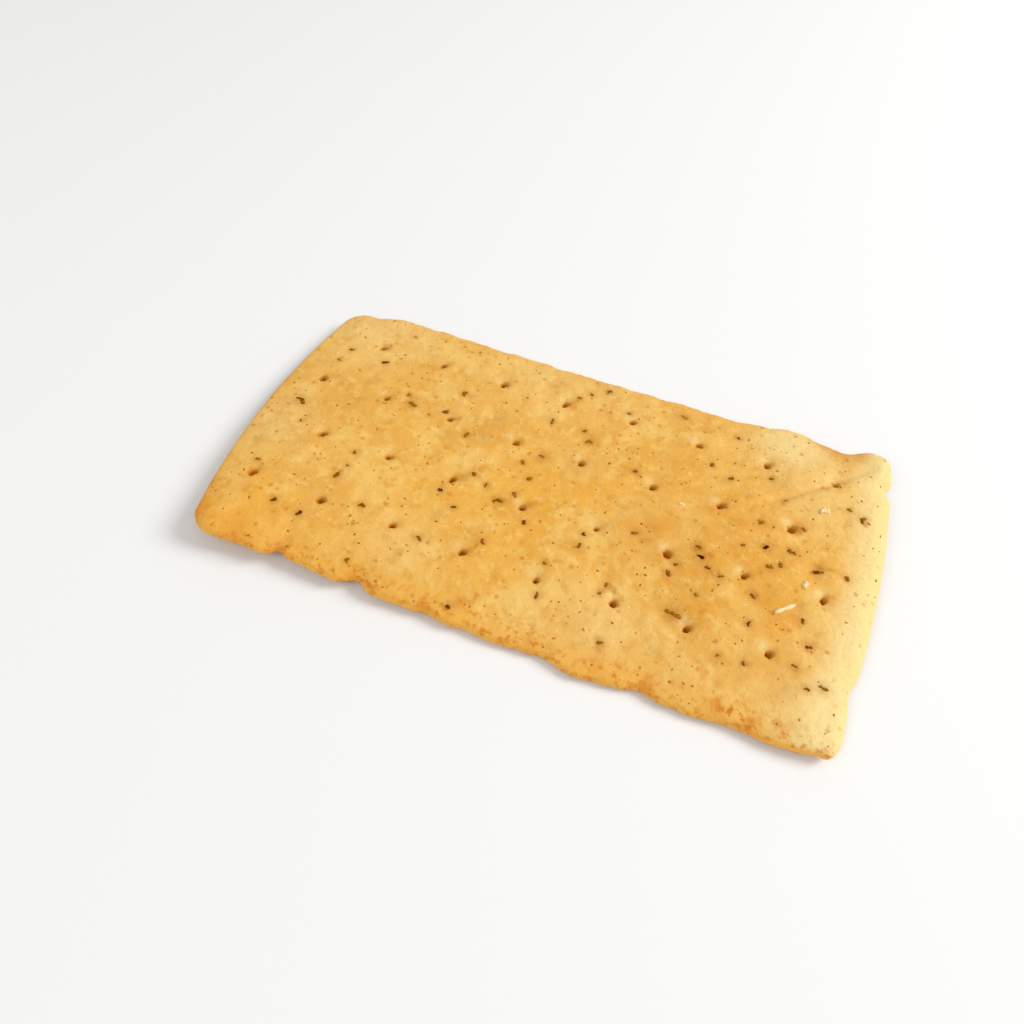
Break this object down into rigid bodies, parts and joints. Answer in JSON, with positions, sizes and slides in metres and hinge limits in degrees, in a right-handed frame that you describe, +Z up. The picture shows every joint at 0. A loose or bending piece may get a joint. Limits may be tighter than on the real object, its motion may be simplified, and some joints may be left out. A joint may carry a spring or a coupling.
{
  "type": "rosemary cracker",
  "caption": "Long rectangular sheet cracker with bulging short ends, torn wavy long edges, staggered rows of dock holes and baked-in herb flecks, lying flat and slightly bowed.",
  "frame": {"origin": "middle of the cracker's footprint, at the level of the table that it lies on", "axes": "+X along the length towards the thicker short end, +Y towards the long edge with the puffed corner, +Z up out of the docked top face"},
  "size_m": [0.15, 0.0836, 0.0086],
  "materials": {
    "crust": "golden baked crust, matt with a faint oily sheen"
  },
  "bodies": {
    "root": {"cracker": "crust"}
  },
  "joints": []
}
